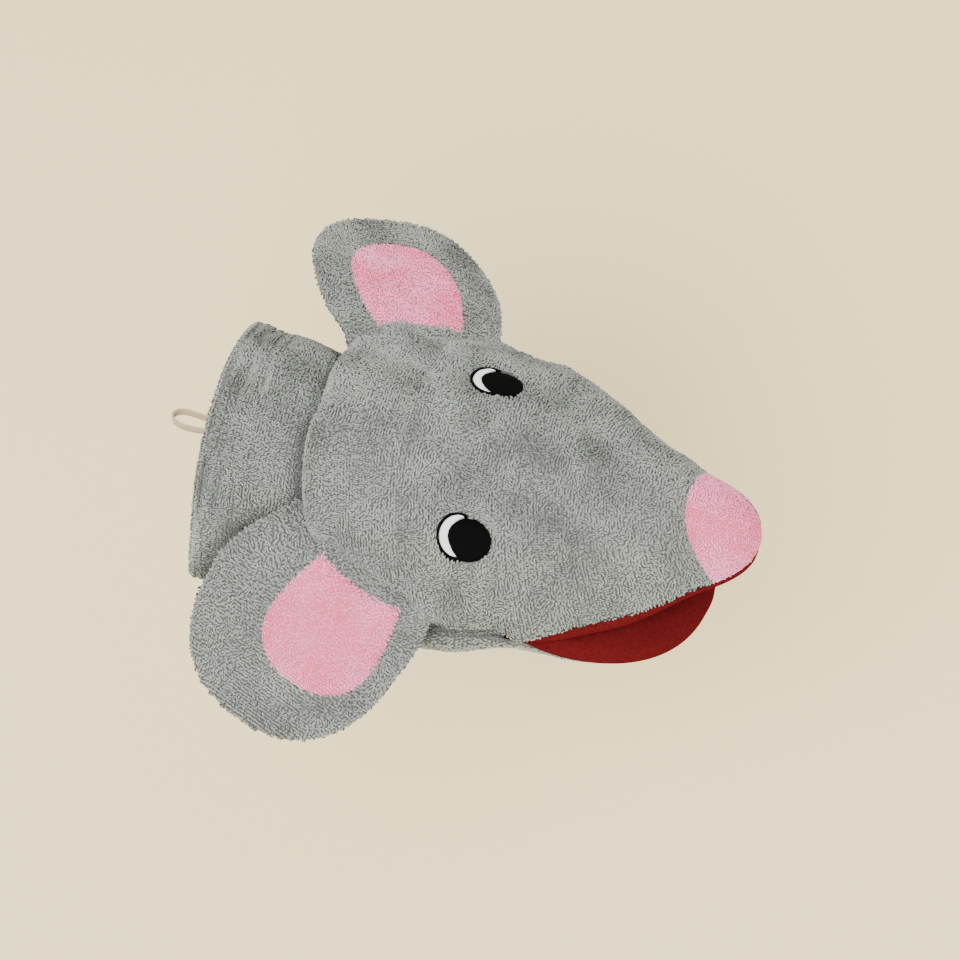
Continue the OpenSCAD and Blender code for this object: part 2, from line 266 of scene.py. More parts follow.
def cloth_piece(name, P, material, thick=CLOTH, ring=False, flip=False, shade=0.3):
    """A woven ground through a grid of points, its doubled points joined and its thickness on the inner
    side."""
    rows, cols = P.shape[:2]
    # The ground's low shade is painted shade, for where it shows between the loops
    tone = np.full(rows * cols, shade)
    piece = new_mesh(name, P.reshape(-1, 3), grid_faces(rows, cols, ring, flip), tone)
    weld(piece)
    piece.data.materials.append(material)
    if thick:
        wall = piece.modifiers.new("ground", "SOLIDIFY")
        wall.thickness = thick * MM
        wall.offset = -1
    return piece


def weld(piece, near=0.02):
    """Joins points that lie within near of each other, as at poles and where a ring meets itself."""
    work = bmesh.new()
    work.from_mesh(piece.data)
    bmesh.ops.remove_doubles(work, verts=work.verts, dist=near * MM)
    work.to_mesh(piece.data)
    work.free()


def declare_sheet(P):
    """Works out the cloth's flat size, the longest girth and length of its grid, and its area, the grid's
    own but no more than that size; nothing further is done with them."""
    across = np.linalg.norm(np.diff(P, axis=1), axis=2).sum(1).max()
    along = np.linalg.norm(np.diff(P, axis=0), axis=2).sum(0).max()
    a, b = np.diff(P, axis=0)[:, :-1], np.diff(P, axis=1)[:-1]
    area = np.linalg.norm(np.cross(a, b), axis=2).sum()
    area = float(min(area, across * along))


def declare_cloth(node, P):
    """Hides the CAD piece that a panel stands for and works out its sheet's sizes."""
    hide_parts(node)
    declare_sheet(P)


# ---- Terry pile ----

# One loop of pile: a curved spindle of three three-sided rings, each with a ridge on top and two lower
# corners, between two buried ends
RING_AT = np.array([-0.32, 0.0, 0.32])
RING_WIDE = np.array([0.8, 1.0, 0.8])
CORNER_ACROSS = np.array([0.0, -0.5, 0.5])
CORNER_UP = np.array([0.46, -0.26, -0.26])
# Shade at each point of a loop, from one buried end to the other: painted shade at the ends and lower
# corners, a painted highlight along the ridges
LOOP_PAINTED_LIGHT = np.array([0.08] + [0.72, 0.28, 0.28] + [0.96, 0.38, 0.38] + [0.72, 0.28, 0.28] + [0.08])
LOOP_POINTS = 11
LOOP_FACES = np.array(
    [(0, 1 + (k + 1) % 3, 1 + k) for k in range(3)]
    + [(1 + r + k, 1 + r + (k + 1) % 3, 4 + r + (k + 1) % 3) for r in (0, 3) for k in range(3)]
    + [(1 + r + k, 4 + r + (k + 1) % 3, 4 + r + k) for r in (0, 3) for k in range(3)]
    + [(7 + k, 7 + (k + 1) % 3, 10) for k in range(3)]
)


def pile_places(P, across, along, rng):
    """Even places on a grid skin: rows a set distance apart down its middle, and places a set distance
    apart in each row, every other row shifted by half, all a little disturbed. Returned as broken row
    and column numbers."""
    run = lengths(P[:, P.shape[1] // 2])
    count = max(1, round(run[-1] / along))
    rows = np.interp((np.arange(count) + 0.5) * run[-1] / count, run, np.arange(len(run)))
    found = []
    for k, row in enumerate(rows):
        line = between(P, np.full(P.shape[1], row), np.arange(P.shape[1], dtype=float))
        length = lengths(line)
        n = max(2, round(length[-1] / across))
        at = (np.arange(n) + 0.25 + 0.5 * (k % 2) + rng.uniform(-0.3, 0.3, n)) * length[-1] / n
        j = np.interp(at, length, np.arange(len(length)))
        i = np.clip(row + rng.uniform(-0.3, 0.3, n) * len(run) / count, 0, len(run) - 1)
        found.append(np.stack([i, j], axis=1))
    return np.concatenate(found)


def pile_piece(name, P, material, seed, lay=0.0, swirl=1.1, swirl_size=12, across=0.92, along=1.2, long=2.0,
               wide=0.86, tall=PILE, flip=False, keep=None, tone=None):
    """Terry loops over a grid skin. Each loop is an arched spindle that lies along the skin. Its
    direction is lay, in radians from the grid's rows, plus smooth noise, so that neighbours lie alike.
    Keep chooses the places that get a loop. Each loop's shade holds painted highlight, painted shade and a
    random tone of its own, and tone is added to it; the callers pass painted shade for folds and hollows as
    tone."""
    rng = np.random.default_rng(seed)
    places = pile_places(P, across, along, rng)
    i, j = places[:, 0], places[:, 1]
    spot = between(P, i, j)
    if keep is not None:
        chosen = keep(spot)
        i, j, spot = i[chosen], j[chosen], spot[chosen]
    count = len(spot)
    up = unit(between(skin_normals(P) * (-1 if flip else 1), i, j))
    first = between(np.gradient(P, axis=0), i, j)
    first = unit(first - up * (first * up).sum(1, keepdims=True))
    second = np.cross(up, first)
    turn = lay + swirl * waves(spot, swirl_size, seed + 1) + 0.4 * rng.normal(size=count)
    heading = first * np.cos(turn)[:, None] + second * np.sin(turn)[:, None]
    side = np.cross(up, heading)
    length = long * rng.uniform(0.75, 1.2, count)
    width = wide * rng.uniform(0.85, 1.15, count)
    height = tall * rng.uniform(0.6, 1.25, count)
    bend = length * rng.uniform(-0.16, 0.16, count)
    tilt = rng.normal(0, 0.12, count)

    def place(t, lift, w, h):
        """Points of all the loops at share t of their length, lift up, w sideways and h further up."""
        ahead = t * length
        aside = bend * (4 * t * t - 0.5) + w
        above = height * lift + tilt * ahead + h
        return spot + heading * ahead[:, None] + side * aside[:, None] + up * above[:, None]

    rings = []
    for at, share in zip(RING_AT, RING_WIDE):
        arch = 0.62 * (1 - 2.4 * at * at)
        for aside_share, up_share in zip(CORNER_ACROSS, CORNER_UP):
            rings.append(place(at, arch, width * share * aside_share, width * share * up_share))
    points = np.stack([place(-0.5, -0.3, 0, 0), *rings, place(0.5, -0.3, 0, 0)], axis=1)
    own = rng.normal(0, 0.12, count) + 0.11 * waves(spot, 24, seed + 2)
    if tone is not None:
        own = own + tone(spot)
    # Shade at each point: the loop's painted highlight and painted shade, plus its own random tone and
    # whatever tone was passed in
    shade = np.clip(LOOP_PAINTED_LIGHT[None] + own[:, None], 0, 1)
    faces = (np.arange(count)[:, None, None] * LOOP_POINTS + LOOP_FACES[None]).reshape(-1, 3)
    piece = new_mesh(name, points.reshape(-1, 3), faces, shade)
    piece.data.materials.append(material)
    return piece


# The coarser pile of the pieces that lie underneath or behind, and a closer one for the throat's rear
BELLY_PILE = {"across": 1.05, "along": 1.45, "long": 2.35, "wide": 0.95}
THROAT_PILE = BELLY_PILE | {"across": 1.0, "along": 1.0}


# ---- Materials ----

def material(name):
    """A new material, its nodes, its links and its shader."""
    made = bpy.data.materials.new(name)
    made.use_nodes = True
    nodes, links = made.node_tree.nodes, made.node_tree.links
    return made, nodes, links, nodes["Principled BSDF"]


def add(nodes, kind, **values):
    """A new shader node of a kind, with its settings."""
    node = nodes.new("ShaderNode" + kind)
    for key, value in values.items():
        setattr(node, key, value)
    return node


def two_tone(nodes, links, factor, dark, light):
    """A colour that goes from dark to light with a factor."""
    mix = add(nodes, "Mix", data_type="RGBA")
    links.new(factor, mix.inputs["Factor"])
    mix.inputs["A"].default_value = (*dark, 1)
    mix.inputs["B"].default_value = (*light, 1)
    return mix.outputs["Result"]


def noise(nodes, links, scale, detail=2, rough=0.5):
    """Noise on the piece's own coordinates, scale in waves to the metre."""
    where = add(nodes, "TexCoord")
    grain = add(nodes, "TexNoise")
    grain.inputs["Scale"].default_value = scale
    grain.inputs["Detail"].default_value = detail
    grain.inputs["Roughness"].default_value = rough
    links.new(where.outputs["Object"], grain.inputs["Vector"])
    return grain.outputs["Fac"]


def bumped(nodes, links, height, shader, distance, strength=1.0):
    """Gives a shader a bump from a height, its distance in millimetres."""
    bump = add(nodes, "Bump")
    bump.inputs["Distance"].default_value = distance * MM
    bump.inputs["Strength"].default_value = strength
    links.new(height, bump.inputs["Height"])
    links.new(bump.outputs["Normal"], shader.inputs["Normal"])


def maths(nodes, links, operation, a, b):
    """One operation of arithmetic on two numbers or sockets."""
    node = add(nodes, "Math", operation=operation)
    for socket, value in zip(node.inputs, (a, b)):
        if isinstance(value, (int, float)):
            socket.default_value = value
        else:
            links.new(value, socket)
    return node.outputs[0]


def terry(name, dark, light, sheen=0.3):
    """Cotton yarn: a colour between two tones, set by each point's shade, which holds the yarn's own tone
    with painted highlight and painted shade, plus a cloudy drift, with a fine twist in the bump."""
    made, nodes, links, shader = material(name)
    # The shade attribute carries painted highlight and painted shade along with the yarn's own tone
    shade = add(nodes, "Attribute", attribute_name="shade").outputs["Fac"]
    drift = maths(nodes, links, "MULTIPLY_ADD", noise(nodes, links, 60, 3), 0.34)
    drift.node.inputs[2].default_value = -0.17
    tone = maths(nodes, links, "ADD", shade, drift)
    links.new(two_tone(nodes, links, tone, dark, light), shader.inputs["Base Color"])
    bumped(nodes, links, noise(nodes, links, 2600, 3, 0.6), shader, 0.12, 0.6)
    shader.inputs["Roughness"].default_value = 0.95
    shader.inputs["Specular IOR Level"].default_value = 0.15
    shader.inputs["Sheen Weight"].default_value = sheen
    shader.inputs["Sheen Roughness"].default_value = 0.5
    return made


def lining_cloth():
    """Plain woven red cotton: crossed waves for warp and weft, a slight nap and a cloudy change of
    tone."""
    made, nodes, links, shader = material("red_lining")
    where = add(nodes, "TexCoord")
    threads = []
    for turn in (0.35, 0.35 + math.pi / 2):
        wave = add(nodes, "TexWave", wave_type="BANDS", bands_direction="X", wave_profile="SIN")
        wave.inputs["Scale"].default_value = 330
        wave.inputs["Distortion"].default_value = 4
        wave.inputs["Detail"].default_value = 2
        wave.inputs["Detail Scale"].default_value = 3
        place = add(nodes, "Mapping")
        place.inputs["Rotation"].default_value = (0, 0, turn)
        links.new(where.outputs["Object"], place.inputs["Vector"])
        links.new(place.outputs["Vector"], wave.inputs["Vector"])
        threads.append(wave.outputs["Fac"])
    weave = maths(nodes, links, "MULTIPLY", *threads)
    crossed = maths(nodes, links, "MULTIPLY", weave, 0.35)
    cloudy = maths(nodes, links, "MULTIPLY", noise(nodes, links, 700, 4), 0.85)
    mottle = maths(nodes, links, "ADD", crossed, cloudy)
    links.new(two_tone(nodes, links, mottle, LINING_DARK, LINING_LIGHT), shader.inputs["Base Color"])
    bumped(nodes, links, weave, shader, 0.12, 0.6)
    shader.inputs["Roughness"].default_value = 1.0
    shader.inputs["Specular IOR Level"].default_value = 0.02
    return made


def thread_material(name, dark, light, rough=0.55, sheen=0.1, shine=0.3):
    """Spun thread: fine streaks of two close tones with a twisted fibre bump."""
    made, nodes, links, shader = material(name)
    links.new(two_tone(nodes, links, noise(nodes, links, 900, 3), dark, light), shader.inputs["Base Color"])
    bumped(nodes, links, noise(nodes, links, 3000, 2), shader, 0.08, 0.6)
    shader.inputs["Roughness"].default_value = rough
    shader.inputs["Specular IOR Level"].default_value = shine
    shader.inputs["Sheen Weight"].default_value = sheen
    return made


def tape_material():
    """Cotton tape: fine ribs across the tape, drawn along its own length, with a slightly soiled cream
    tone."""
    made, nodes, links, shader = material("cream_tape")
    along = add(nodes, "Attribute", attribute_name="along").outputs["Fac"]
    turns = maths(nodes, links, "MULTIPLY", along, 2 * math.pi / TAPE_RIB)
    rib = maths(nodes, links, "SINE", turns, 0)
    soil = noise(nodes, links, 400, 3)
    links.new(two_tone(nodes, links, soil, TAPE_DARK, TAPE_LIGHT), shader.inputs["Base Color"])
    bumped(nodes, links, rib, shader, 0.08, 0.7)
    shader.inputs["Roughness"].default_value = 0.85
    shader.inputs["Sheen Weight"].default_value = 0.15
    return made


# The dark and light ends of each terry's colour ramp: painted shade at loop ends, ground and folds lies
# near the dark end, the painted highlight on the ridges near the light one
GREY_DARK, GREY_LIGHT = (0.020, 0.022, 0.019), (0.34, 0.36, 0.322)
PINK_DARK, PINK_LIGHT = (0.84, 0.06, 0.17), (0.98, 0.40, 0.62)
LINING_DARK, LINING_LIGHT = (0.036, 0.0030, 0.0034), (0.135, 0.0092, 0.0105)
TAPE_DARK, TAPE_LIGHT = (0.30, 0.23, 0.13), (0.52, 0.43, 0.28)

grey_terry = terry("grey_terry", GREY_DARK, GREY_LIGHT)
pink_terry = terry("pink_terry", PINK_DARK, PINK_LIGHT, sheen=0.1)
red_lining = lining_cloth()
black_thread = thread_material("black_thread", (0.001, 0.001, 0.001), (0.003, 0.003, 0.003), 0.8, 0, 0.03)
white_thread = thread_material("white_thread", (0.68, 0.68, 0.69), (0.86, 0.86, 0.87), 0.5)
grey_thread = thread_material("grey_thread", (0.14, 0.145, 0.135), (0.27, 0.275, 0.255), 0.6)
cream_tape = tape_material()


# ---- Camera, lights and floor ----

def make_camera():
    """A camera at the given bearing and height, looking down on the puppet from its right."""
    bearing, height, roll = math.radians(6.5), math.radians(59), math.radians(4.3)
    target = np.array([106.4, -5.5, 16.8])
    distance = 1100
    seen = 384                                # width of the view at the target
    level = math.cos(height)
    back = np.array([math.sin(bearing) * level, -math.cos(bearing) * level, math.sin(height)])
    right = np.array([math.cos(bearing), math.sin(bearing), 0])
    above = np.cross(back, right)
    turned = right * math.cos(roll) + above * math.sin(roll)
    upright = above * math.cos(roll) - right * math.sin(roll)
    camera = bpy.data.objects.new("camera", bpy.data.cameras.new("camera"))
    camera.data.sensor_width = 36
    camera.data.lens = 36 * distance / seen
    camera.data.clip_start = 0.05
    place = (target + back * distance) * MM
    columns = np.stack([turned, upright, back, place], axis=1)
    camera.matrix_world = Matrix(np.vstack([columns, [0, 0, 0, 1]]))
    bpy.context.scene.collection.objects.link(camera)
    bpy.context.scene.camera = camera


def make_light(name, place, target, size, power):
    """A round soft lamp at a place, turned to its target, all in metres and watts."""
    data = bpy.data.lights.new(name, "AREA")
    data.shape = "DISK"
    data.size = size
    data.energy = power
    lamp = bpy.data.objects.new(name, data)
    lamp.location = place
    lamp.rotation_mode = "QUATERNION"
    lamp.rotation_quaternion = (Vector(target) - Vector(place)).to_track_quat("-Z", "Y")
    bpy.context.scene.collection.objects.link(lamp)


def make_room():
    """A pale even floor well below the puppet, a big soft lamp over its right side and an even sky."""
    middle = (0.1, 0, 0)
    make_light("key_light", (-0.2, -1.3, 1.7), middle, 1.5, 84)
    make_light("fill_light", (1.2, 0.9, 1.6), middle, 1.8, 8)
    world = bpy.data.worlds.new("studio")
    world.use_nodes = True
    sky = world.node_tree.nodes["Background"]
    sky.inputs["Color"].default_value = (1, 0.985, 0.96, 1)
    sky.inputs["Strength"].default_value = 1.3
    bpy.context.scene.world = world
    span = np.array([(-4, -4), (4, -4), (4, 4), (-4, 4)]) / MM
    floor = new_mesh("studio_floor", np.c_[span, np.full(4, FLOOR_LEVEL)], np.array([[0, 1, 2, 3]]))
    made, nodes, links, shader = material("studio_floor")
    paper = two_tone(nodes, links, noise(nodes, links, 3, 2), (0.97, 0.80, 0.43), (0.98, 0.81, 0.44))
    links.new(paper, shader.inputs["Base Color"])
    shader.inputs["Roughness"].default_value = 1
    shader.inputs["Specular IOR Level"].default_value = 0
    floor.data.materials.append(made)


# ---- Hanging loop ----

def make_loop():
    """A flat tape carried along its route: at each point a superellipse ring, its broad side standing
    upright."""
    tucked = [TAPE_ROUTE[k] + [TAPE_TUCK, 0, -0.6] for k in (0, -1)]
    knots = np.concatenate([tucked[:1], TAPE_ROUTE, tucked[1:]])
    last = len(knots) - 1
    fine = np.linspace(0, last, last * 4 + 1)
    route = np.stack([np.interp(fine, np.arange(last + 1), knots[:, k]) for k in range(3)], axis=1)
    for _ in range(3):
        route[1:-1] = (route[:-2] + 2 * route[1:-1] + route[2:]) / 4
    heading = unit(np.gradient(route, axis=0))
    side = unit(np.cross([0, 0, 1], heading))
    up = np.cross(heading, side)
    turn = np.linspace(0, 2 * math.pi, 16, endpoint=False)
    flat = np.sign(np.sin(turn)) * np.abs(np.sin(turn)) ** 0.6 * TAPE_T / 2
    broad = np.sign(np.cos(turn)) * np.abs(np.cos(turn)) ** 0.6 * TAPE_W / 2
    P = route[:, None] + side[:, None] * flat[None, :, None] + up[:, None] * broad[None, :, None]
    run = lengths(route)
    loop = new_mesh("cotton_loop", P.reshape(-1, 3), grid_faces(len(route), len(turn), ring=True))
    attribute = loop.data.attributes.new("along", "FLOAT", "POINT")
    attribute.data.foreach_set("value", np.repeat(run, len(turn)).astype(np.float32))
    close_ends(loop)
    loop.data.materials.append(cream_tape)
    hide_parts("hanging_loop")
    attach(loop, "loop")


def close_ends(piece):
    """Fills the open rings at both ends of a tube and turns every face outward."""
    work = bmesh.new()
    work.from_mesh(piece.data)
    bmesh.ops.holes_fill(work, edges=[e for e in work.edges if e.is_boundary], sides=0)
    bmesh.ops.recalc_face_normals(work, faces=work.faces)
    work.to_mesh(piece.data)
    work.free()


# ---- Sleeve ----

def crease_painted_shade(spot):
    """Painted shade for the sleeve's loops in the folds behind the head's rear edge and beside the right
    ear, on top of a slightly darker value over the whole sleeve. Each fold is the product of smoothsteps of
    the distance behind the edge and beside the ear."""
    s = np.clip(spot[:, 1] / NAPE_HALF, -1, 1)
    behind = nape_at(s) - spot[:, 0]
    fold = smooth((9 - behind) / 9) * smooth((behind + 12) / 10)
    a, b, _ = to_ear(spot)
    gap = ear_middle("right", b) - ear_half("right", b) * rear_share("right", b) - a
    beside = smooth((10 - gap) / 9) * smooth((b + 12) / 8) * (spot[:, 1] < 0)
    return -0.07 - 0.42 * np.maximum(fold, beside)


def nape_at(s):
    """Where the head's rear edge lies along X, at a share s of the half width."""
    return NAPE_X + NAPE_SWEEP * s * s + 0.9 * np.sin(5.3 * s + 0.7) + 0.5 * np.sin(11 * s)


def sleeve_skin(x, s, face, depth):
    """Half of a pillow section: width times the sine of a turn, height times a power of its cosine,
    with low cosine bands that run round beside the rim, a groove under the hem's stitching and a valley
    where the head's edge folds over, both bell curves."""
    turn = s * math.pi / 2
    wide = CUFF_HALF - SLEEVE_TAPER * x - depth
    tall = (CUFF_TOP + SLEEVE_RISE * x if face > 0 else CUFF_DEPTH) - depth
    from_rim = x + RIM_BOW * (1 - s * s)
    band = np.cos(2 * math.pi * from_rim / BAND_PITCH) * (1 - smooth((from_rim - 12) / 14))
    groove = -np.exp(-((from_rim - HEM_WIDTH) / 1.4) ** 2)
    groove = groove - NAPE_VALLEY * np.exp(-((x - nape_at(s)) / 5.5) ** 2)
    z = face * (tall * np.cos(turn) ** SLEEVE_POWER + (band + groove) * np.cos(turn) ** 0.3)
    return stack(x, np.sin(turn) * (wide + (band + groove) * 0.5), z)


def make_sleeve():
    """The back and belly halves of the sleeve, from the fold at the rim to inside the head."""
    for face, node in ((1, "sleeve_back_panel"), (-1, "sleeve_belly_panel")):
        u, s = plane_grid(52, 91)
        rim = -RIM_BOW * (1 - s * s) + HEM_ROLL
        x = rim + (SLEEVE_END - rim) * u
        P = sleeve_skin(x, s, face, PILE)
        P += skin_normals(P) * (0.9 * waves(P, 30, 11))[..., None]
        name = node.replace("_panel", "")
        ground = cloth_piece(name, P, grey_terry, flip=face < 0)
        coarse = {} if face > 0 else BELLY_PILE
        # The sleeve's loops take painted shade in the folds by the head's rear edge and the right ear
        pile = pile_piece(name + "_pile", P[:-4], grey_terry, 20 + face, swirl=0.6, flip=face < 0,
                          tone=crease_painted_shade, **coarse)
        for piece in (ground, pile):
            bend_at_neck(piece)
        declare_cloth(node, P)


def bend_at_neck(piece):
    """Bakes the piece's transform into its points."""
    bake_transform(piece)


def band_round(from_rim, turn, depth):
    """A point of the cuff's section, the sleeve's own, at a turn round it, a distance from the rim and
    a depth below its outer skin."""
    s = np.cos(turn)
    x = -RIM_BOW * (1 - s * s) + from_rim
    swing = np.arcsin(np.clip(s, -1, 1))
    tall = np.where(np.sin(turn) > 0, CUFF_TOP + SLEEVE_RISE * x, CUFF_DEPTH)
    z = np.sign(np.sin(turn)) * (tall - depth) * np.abs(np.cos(swing)) ** SLEEVE_POWER
    return stack(x, s * (CUFF_HALF - SLEEVE_TAPER * x - depth), z)


def make_hem():
    """The hem's fold: from its end inside the cuff along the inner side, then round a half circle to
    the skin."""
    inner = 6
    fold = 9
    turn = np.linspace(0, 2 * math.pi, 200, endpoint=False)
    around = np.linspace(math.pi, 0, fold)
    inside = np.linspace(HEM_WIDTH, HEM_ROLL, inner, endpoint=False)
    away = np.concatenate([inside, HEM_ROLL - HEM_ROLL * np.sin(around)])
    depth = PILE + np.concatenate([np.full(inner, 2 * HEM_ROLL), HEM_ROLL * (1 - np.cos(around))])
    P = band_round(away[:, None], turn[None, :], depth[:, None])
    ground = cloth_piece("cuff_fold", P, grey_terry, ring=True, flip=True)
    wrapped = np.concatenate([P, P[:, :1]], axis=1)
    pile = pile_piece("cuff_fold_pile", wrapped, grey_terry, 31, swirl=0.7, tall=1.2, flip=True,
                      **BELLY_PILE)
    for piece in (ground, pile):
        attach(piece, "cuff")
    declare_cloth("cuff_hem", wrapped)
    make_stitches()


def make_stitches():
    """A row of short stitches in the hem's groove: each a bead of thread, an oblong ball stretched
    along the row, whose girth is the root of one minus the fourth power of the place along it."""
    pitch = 3.4
    long = 2.7
    wide = 0.55
    turn = np.linspace(0, 2 * math.pi, 721)
    path = band_round(np.full(turn.shape, HEM_WIDTH), turn, PILE - 0.1)
    run = lengths(path)
    count = int(run[-1] / pitch)
    at = (np.arange(count) + 0.5) * run[-1] / count
    middle = np.stack([np.interp(at, run, path[:, k]) for k in range(3)], axis=1)
    ahead = np.stack([np.interp(at + 0.5, run, path[:, k]) for k in range(3)], axis=1) - middle
    heading = unit(ahead)
    out = unit(middle * [0, 1, 1])
    side = unit(np.cross(heading, out))
    out = np.cross(side, heading)
    t = np.linspace(-1, 1, 7)[:, None]
    a = np.linspace(0, 2 * math.pi, 6, endpoint=False)[None, :]
    girth = np.sqrt(np.clip(1 - t ** 4, 0, 1))
    shape = stack(t * long / 2, girth * np.cos(a) * wide / 2, girth * np.sin(a) * wide / 2)
    shape = shape.reshape(-1, 3)
    frames = np.stack([heading, side, out], axis=1)
    points = middle[:, None] + np.einsum("nk,mkj->mnj", shape, frames)
    bead = grid_faces(len(t), a.size, ring=True)
    faces = (np.arange(count)[:, None, None] * len(shape) + bead[None]).reshape(-1, 4)
    stitches = new_mesh("hem_stitches", points.reshape(-1, 3), faces)
    weld(stitches)
    stitches.data.materials.append(grey_thread)
    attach(stitches, "cuff")
    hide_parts("hem_stitching")


# ---- Head ----

def tip_round(x, depth=0.0):
    """Share of the head's width and height left near the nose tip: a superellipse."""
    t = np.clip(x + depth - NOSE_TIP + TIP_R, 0, TIP_R) / TIP_R
    return (1 - t ** TIP_POWER) ** (1 / TIP_POWER)


def head_half(x, depth=0.0):
    """Half width of the head: a parabola behind its widest place and half a cosine ahead of it."""
    ahead = np.clip((x - WIDEST_X) / (NOSE_TIP - WIDEST_X), 0, 1)
    behind = np.clip((WIDEST_X - x) / (WIDEST_X - NAPE_X), 0, 1.5)
    back = HEAD_HALF - (HEAD_HALF - NAPE_HALF) * behind ** 2
    front = SNOUT_HALF + (HEAD_HALF - SNOUT_HALF) * (1 + np.cos(math.pi * ahead ** 1.15)) / 2
    return np.where(x < WIDEST_X, back, front * tip_round(x, depth))


def head_tall(x, depth=0.0):
    """Height of the head's middle line, falling slowly and then faster towards the nose."""
    t = np.clip((x - NAPE_X) / (NOSE_TIP - NAPE_X), 0, 1)
    return (CROWN - SNOUT_DROP * t ** 1.25) * tip_round(x, depth)


def side_tuck(x, y):
    """How far the seam is drawn in between the ear and the mouth corner, more on the right than on the
    left."""
    bump = smooth((x - 86) / 14) * (1 - smooth((x - 122) / 12))
    return bump * np.where(y < 0, SIDE_TUCK["right"], SIDE_TUCK["left"])


def ear_frame():
    """Middle of the left ear's seam line, and its seam, outward and upward directions, from its CAD
    patch."""
    mesh = frame["nodes"]["left_ear_patch"].data
    points = np.array([v.co for v in mesh.vertices]) / MM
    fold = next(joint for joint in frame["joints"] if joint["name"] == "left_ear_fold")
    seam = unit(np.array(fold["axis"], float))
    widest = max(mesh.polygons, key=lambda p: p.area)
    normal = np.array(widest.normal)
    normal = unit(normal * np.sign(normal[2]))
    out = np.cross(normal, seam)
    reach, rise = points @ out, points @ normal
    shift = (points @ seam).max() / 2 + (points @ seam).min() / 2 - PATCH_SHIFT
    middle = seam * shift + out * (reach.min() - EAR_START) + normal * rise.max()
    return middle, seam, out, normal


EAR_MIDDLE, EAR_SEAM, EAR_OUT, EAR_UP = ear_frame()


def to_ear(P):
    """Places along the seam, out from it and above its plane, for points of either side of the head."""
    own = P * [1, 1, 1]
    own[..., 1] = np.abs(own[..., 1])
    away = own - EAR_MIDDLE
    return away @ EAR_SEAM, away @ EAR_OUT, away @ EAR_UP


def lift_to_ears(P, share=1):
    """Raises cloth towards each ear's front sheet beside the seam, as the sewn-in ear pulls it up. The
    rise is the distance still missing, times smoothsteps of the distance out from the seam and along
    it."""
    a, b, h = to_ear(P)
    near = smooth((b + 24) / 22) * (1 - smooth((b - 6) / 8)) * (1 - smooth((np.abs(a) - 26) / 24))
    rise = np.clip(-4.5 - h, 0, 12) * near * share
    mirrored = np.sign(P[..., 1:2]) * [0, 1, 0] + [1, 0, 1]
    return P + rise[..., None] * EAR_UP * mirrored


def lip_swell(x, y):
    """How far the right lip stands out and hangs down beside the mouth, where the fingers inside press
    on it: two bell curves along it."""
    out = LIP_OUT * np.exp(-((x - 180) / 24) ** 2)
    down = LIP_DOWN * np.exp(-((x - 177) / 26) ** 2)
    return out * (y < 0), down * (y < 0)


def head_section(x, q, depth):
    """The head's skin at x and a place across, q = -1 to 1: a dome of sine across and powered cosine
    up, then a small circular roll that turns in under the seam. The roll is slimmer along the mouth."""
    turn = np.clip(np.abs(q) / (1 - EDGE), 0, 1) * math.pi / 2
    under = np.clip((np.abs(q) - 1 + EDGE) / EDGE, 0, 1) * math.radians(140)
    wide = np.maximum(head_half(x, depth) - depth, 0)
    tall = np.maximum(head_tall(x, depth) - depth, 0)
    roll = np.minimum(2.6 - 1.5 * smooth((x - 122) / 16), wide * 0.2)
    side = np.sign(q)
    wide = wide - side_tuck(x, side) * np.sin(turn) ** 6
    swell, drop = lip_swell(x, side)
    y = wide * np.sin(turn) + swell * np.sin(turn) ** 4 - roll * (1 - np.cos(under))
    z = tall * np.cos(turn) ** DOME - drop * np.sin(turn) ** 8 - roll * np.sin(under)
    return y * side, z


def across_share(q):
    """Share of the half width at a place across: the dome's sine, which stays full over the roll."""
    return np.sin(np.clip(q / (1 - EDGE), -1, 1) * math.pi / 2)


def nose_seam_at(s):
    """Where the nose seam lies along X, at a share s of the half width. Its left end lies further
    back."""
    return NOSE_SEAM + NOSE_SWEEP * s * s * np.where(s > 0, 0.45, 1.0)


def off_the_eyes(spot):
    """True where a loop stands clear of both eyes' stitching."""
    a, b = spot[:, 0] - EYE[0], np.abs(spot[:, 1]) - EYE[1]
    on_pupil = np.hypot(a, b) < PUPIL_R - 0.2
    on_white = np.hypot(a + WHITE_SHIFT, b) < WHITE_R + 0.4
    return ~(on_pupil | on_white)


def from_sleeve(x, s, face, y, z, grow):
    """Points that leave the sleeve's skin, at grow 0, for a panel's own skin, at grow 1."""
    sleeve = sleeve_skin(x, s, face, PILE + 1.5)
    wide = sleeve[..., 1] + (y - sleeve[..., 1]) * grow
    tall = sleeve[..., 2] + (z - sleeve[..., 2]) * grow
    return stack(x, wide, tall)


